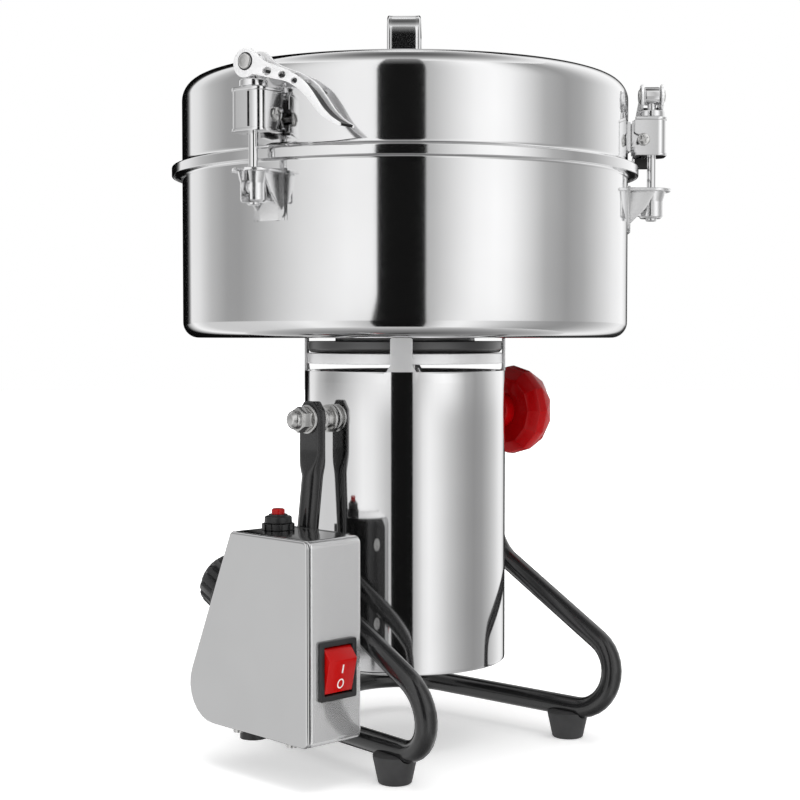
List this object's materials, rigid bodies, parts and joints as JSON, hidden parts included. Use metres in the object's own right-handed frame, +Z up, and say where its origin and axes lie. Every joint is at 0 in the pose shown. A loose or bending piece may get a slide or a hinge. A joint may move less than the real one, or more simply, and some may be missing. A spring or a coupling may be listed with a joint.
{
  "type": "grain mill",
  "caption": "Free-standing electric swing mill: lidded steel bowl on a motor tube, tilting between the uprights of a bent-tube stand with a side control box.",
  "frame": {"origin": "centre of the bounding box at floor level, 2.87 mm in -X and 12.54 mm in +Y from the motor axis", "axes": "+Z up along the motor axis, +X towards the red clamp knob along the tilt axis, -Y towards the rocker switch face"},
  "size_m": [0.2968, 0.296, 0.42],
  "materials": {
    "mirror_steel": "mirror polished stainless steel",
    "satin_steel": "satin stainless steel",
    "zinc_steel": "bright zinc plated steel",
    "black_enamel": "gloss black enamel",
    "black_rubber": "matt black rubber",
    "silicone": "translucent silicone",
    "red_gloss": "glossy red plastic",
    "black_plastic": "fine grained black plastic",
    "cast_aluminium": "machined die casting",
    "iron_core": "varnished lamination stack",
    "copper": "enamelled copper"
  },
  "bodies": {
    "stand": {"stand_frame": "black_enamel", "rubber_feet": "black_rubber", "foot_screws": "zinc_steel", "box_bracket": "black_enamel", "box_shell": "satin_steel", "box_side_cover": "satin_steel", "box_screws": "zinc_steel", "switch_housing": "black_plastic", "breaker_body": "black_plastic", "breaker_collar": "black_plastic", "timer_body": "black_plastic", "panel_plate": "black_plastic", "inlet_gland": "black_plastic"},
    "rocker": {"switch_rocker": "red_gloss"},
    "reset": {"reset_button": "red_gloss"},
    "timer": {"timer_knob": "black_plastic"},
    "mill": {"motor_housing": "mirror_steel", "end_bell": "cast_aluminium", "hub_pad": "black_rubber", "tab_rivets": "zinc_steel", "bottom_cover": "satin_steel", "stator_core": "iron_core", "stator_coils": "copper", "bearings": "zinc_steel", "brush_holders": "black_plastic", "bowl": "mirror_steel", "bowl_screws": "zinc_steel", "hub_seal": "black_rubber", "latch_keepers": "mirror_steel", "pivot_bolt": "zinc_steel", "pivot_washers": "zinc_steel", "pivot_nut": "zinc_steel", "pivot_stud": "zinc_steel"},
    "rotor": {"motor_shaft": "satin_steel", "armature_core": "iron_core", "armature_winding": "copper", "commutator": "copper", "cooling_fan": "black_plastic", "grinding_blades": "satin_steel", "blade_spacers": "satin_steel", "blade_nut": "zinc_steel"},
    "lid": {"lid_shell": "mirror_steel", "lid_gasket": "silicone", "lid_handle": "mirror_steel", "handle_screws": "zinc_steel", "latch_seats": "mirror_steel", "seat_pins": "zinc_steel"},
    "knob": {"clamp_knob": "red_gloss"},
    "latch_1": {"latch_rod_1": "mirror_steel", "latch_barrel_1": "mirror_steel"},
    "lever_1": {"latch_lever_1": "mirror_steel", "latch_pin_1": "zinc_steel"},
    "latch_2": {"latch_rod_2": "mirror_steel", "latch_barrel_2": "mirror_steel"},
    "lever_2": {"latch_lever_2": "mirror_steel", "latch_pin_2": "zinc_steel"},
    "latch_3": {"latch_rod_3": "mirror_steel", "latch_barrel_3": "mirror_steel"},
    "lever_3": {"latch_lever_3": "mirror_steel", "latch_pin_3": "zinc_steel"}
  },
  "joints": [
    {"name": "mill_tilt", "type": "hinge", "parent": "stand", "child": "mill", "pos_m": [0.00287, -0.01254, 0.192], "axis": [-1, 0, 0], "range_deg": [0, 90]},
    {"name": "rotor_spin", "type": "hinge", "parent": "mill", "child": "rotor", "pos_m": [0.00287, -0.01254, 0.2], "axis": [0, 0, 1], "continuous": true},
    {"name": "lid_lift", "type": "slide", "parent": "mill", "child": "lid", "axis": [0, 0, 1], "range_m": [0, 0.035]},
    {"name": "latch_1_swing", "type": "hinge", "parent": "mill", "child": "latch_1", "pos_m": [-0.13688, -0.04557, 0.3145], "axis": [0.23, -0.9732, 0], "range_deg": [0, 120]},
    {"name": "lever_1_flip", "type": "hinge", "parent": "latch_1", "child": "lever_1", "pos_m": [-0.13688, -0.04557, 0.3776], "axis": [-0.9732, -0.23, 0], "range_deg": [0, 150]},
    {"name": "latch_2_swing", "type": "hinge", "parent": "mill", "child": "latch_2", "pos_m": [0.10135, -0.11705, 0.3145], "axis": [0.7278, 0.6858, 0], "range_deg": [0, 120]},
    {"name": "lever_2_flip", "type": "hinge", "parent": "latch_2", "child": "lever_2", "pos_m": [0.10135, -0.11705, 0.3776], "axis": [0.6858, -0.7278, 0], "range_deg": [0, 150]},
    {"name": "latch_3_swing", "type": "hinge", "parent": "mill", "child": "latch_3", "pos_m": [0.04414, 0.125, 0.3145], "axis": [-0.9578, 0.2874, 0], "range_deg": [0, 120]},
    {"name": "lever_3_flip", "type": "hinge", "parent": "latch_3", "child": "lever_3", "pos_m": [0.04414, 0.125, 0.3776], "axis": [0.2874, 0.9578, 0], "range_deg": [0, 150]},
    {"name": "clamp_knob_turn", "type": "hinge", "parent": "mill", "child": "knob", "pos_m": [0.10087, -0.01254, 0.192], "axis": [1, 0, 0], "range_deg": [0, 360]},
    {"name": "timer_turn", "type": "hinge", "parent": "stand", "child": "timer", "pos_m": [-0.10313, 0.011, 0.096], "axis": [0, 0.9129, 0.4081], "range_deg": [-300, 0]},
    {"name": "rocker_toggle", "type": "hinge", "parent": "stand", "child": "rocker", "pos_m": [-0.10213, -0.06704, 0.0645], "axis": [-1, 0, 0], "range_deg": [0, 23]},
    {"name": "reset_press", "type": "slide", "parent": "stand", "child": "reset", "axis": [0, 0, -1], "range_m": [0, 0.002], "stiffness_N_per_m": 800, "springref_m": -0.0005}
  ],
  "couplings": [
    {"joint": "latch_1_swing", "follows": "lid_lift", "rad_per_m": 59.839},
    {"joint": "latch_2_swing", "follows": "lid_lift", "rad_per_m": 59.839},
    {"joint": "latch_3_swing", "follows": "lid_lift", "rad_per_m": 59.839}
  ]
}
